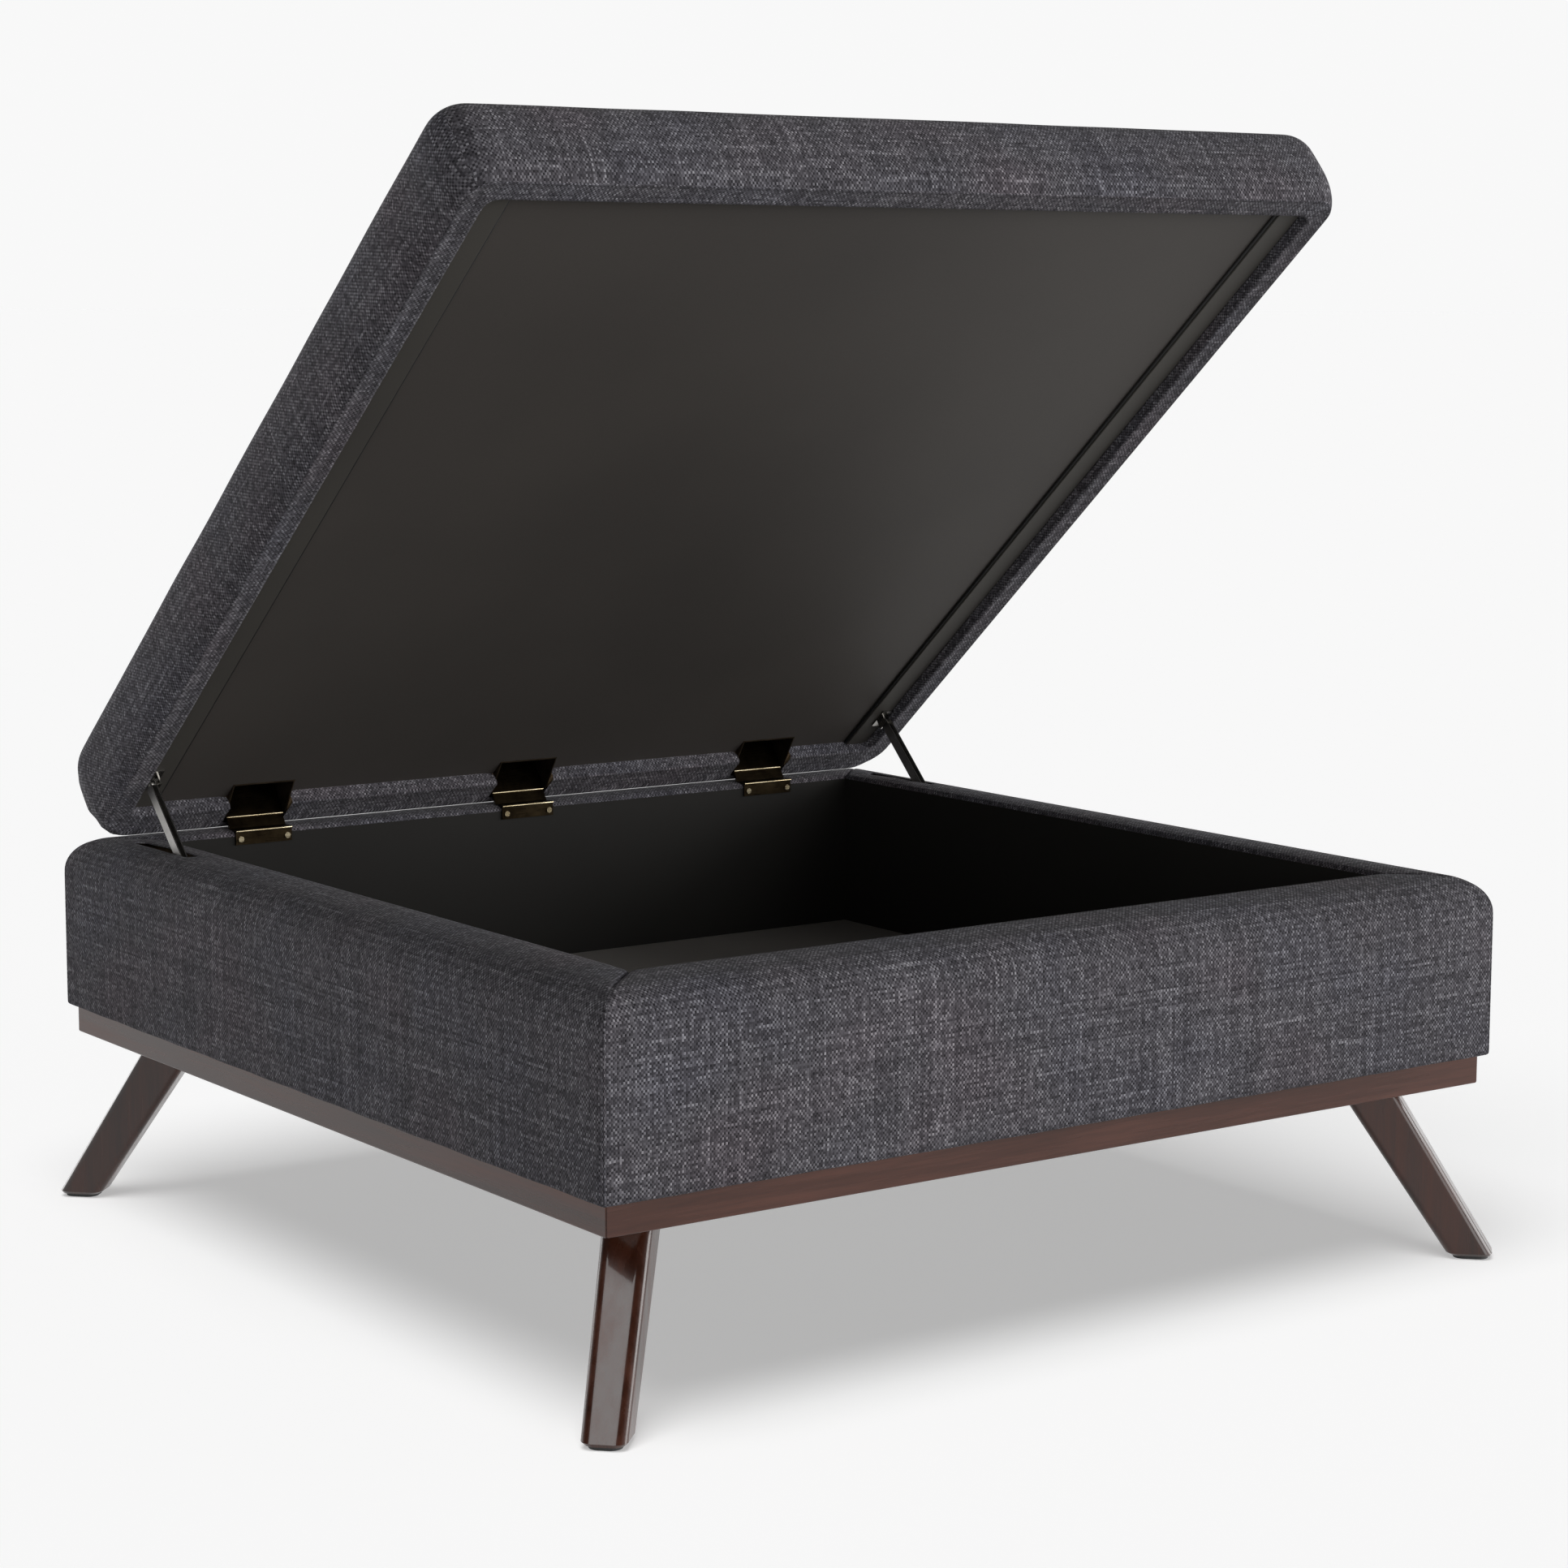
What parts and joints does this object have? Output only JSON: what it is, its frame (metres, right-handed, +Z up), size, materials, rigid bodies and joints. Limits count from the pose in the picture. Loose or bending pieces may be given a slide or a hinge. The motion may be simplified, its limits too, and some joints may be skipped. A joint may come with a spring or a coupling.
{
  "type": "storage ottoman",
  "caption": "Square upholstered storage ottoman on splayed wooden legs, with a padded lid that lifts on concealed rear hinges and sliding side stays.",
  "frame": {"origin": "on the floor under the middle of the ottoman", "axes": "+X to the right along the front, +Y to the rear where the lid is hinged, +Z up"},
  "size_m": [0.9402, 0.9402, 0.9719],
  "materials": {
    "tweed_fabric": "charcoal tweed weave with slubs",
    "well_lining": "dark smooth lining cloth",
    "dust_cloth": "black non-woven cloth over hardboard",
    "edge_strip": "dark cloth-covered strip",
    "foam": "open-cell foam",
    "plywood": "raw plywood and softwood",
    "espresso_wood": "espresso stain under gloss lacquer",
    "bronzed_steel": "dark antique bronze plating",
    "zinc_steel": "bright zinc plating",
    "glide": "dull black"
  },
  "bodies": {
    "base": {"base_cover_front": "tweed_fabric", "base_cover_left": "tweed_fabric", "base_cover_rear": "tweed_fabric", "base_cover_right": "tweed_fabric", "corner_blocks": "plywood", "floor_board": "plywood", "floor_liner": "well_lining", "floor_slats": "plywood", "foot_glides": "glide", "hinge_arm_centre": "bronzed_steel", "hinge_arm_left": "bronzed_steel", "hinge_arm_right": "bronzed_steel", "hinge_leaf_screws": "bronzed_steel", "inner_board_front": "plywood", "inner_board_left": "plywood", "inner_board_rear": "plywood", "inner_board_right": "plywood", "leg_bolts": "zinc_steel", "leg_front_left": "espresso_wood", "leg_front_right": "espresso_wood", "leg_plate_screws": "zinc_steel", "leg_plates": "zinc_steel", "leg_rear_left": "espresso_wood", "leg_rear_right": "espresso_wood", "outer_board_front": "plywood", "outer_board_left": "plywood", "outer_board_rear": "plywood", "outer_board_right": "plywood", "plinth_rail_front": "espresso_wood", "plinth_rail_left": "espresso_wood", "plinth_rail_rear": "espresso_wood", "plinth_rail_right": "espresso_wood", "rim_board_front": "plywood", "rim_board_left": "plywood", "rim_board_rear": "plywood", "rim_board_right": "plywood", "stay_guides": "zinc_steel", "underside_cloth": "dust_cloth", "wall_foam_front": "foam", "wall_foam_left": "foam", "wall_foam_rear": "foam", "wall_foam_right": "foam", "wall_liner": "well_lining"},
    "lid": {"hinge_cup_centre": "bronzed_steel", "hinge_cup_left": "bronzed_steel", "hinge_cup_right": "bronzed_steel", "hinge_cup_screws": "bronzed_steel", "hinge_pins": "bronzed_steel", "lid_cover": "tweed_fabric", "lid_deck": "plywood", "lid_foam": "foam", "lid_panel": "dust_cloth", "lid_rail_front": "plywood", "lid_rail_left": "plywood", "lid_rail_rear": "plywood", "lid_rail_right": "plywood", "lid_strips": "edge_strip", "stay_brackets": "zinc_steel"},
    "stay_left": {"stay_bar_left": "zinc_steel"},
    "stay_right": {"stay_bar_right": "zinc_steel"}
  },
  "joints": [
    {"name": "lid_hinge", "type": "hinge", "parent": "base", "child": "lid", "pos_m": [0, 0.4334, 0.39169], "axis": [-1, 0, 0], "range_deg": [-40.2, 0]},
    {"name": "stay_left_pivot", "type": "hinge", "parent": "lid", "child": "stay_left", "pos_m": [-0.416, 0.35359, 0.39237], "axis": [-1, 0, 0], "range_deg": [0, 68.66]},
    {"name": "stay_right_pivot", "type": "hinge", "parent": "lid", "child": "stay_right", "pos_m": [0.416, 0.35359, 0.39237], "axis": [-1, 0, 0], "range_deg": [0, 68.66]}
  ],
  "couplings": [
    {"joint": "stay_left_pivot", "follows": "lid_hinge", "ratio": -1.7076},
    {"joint": "stay_right_pivot", "follows": "lid_hinge", "ratio": -1.7076}
  ]
}
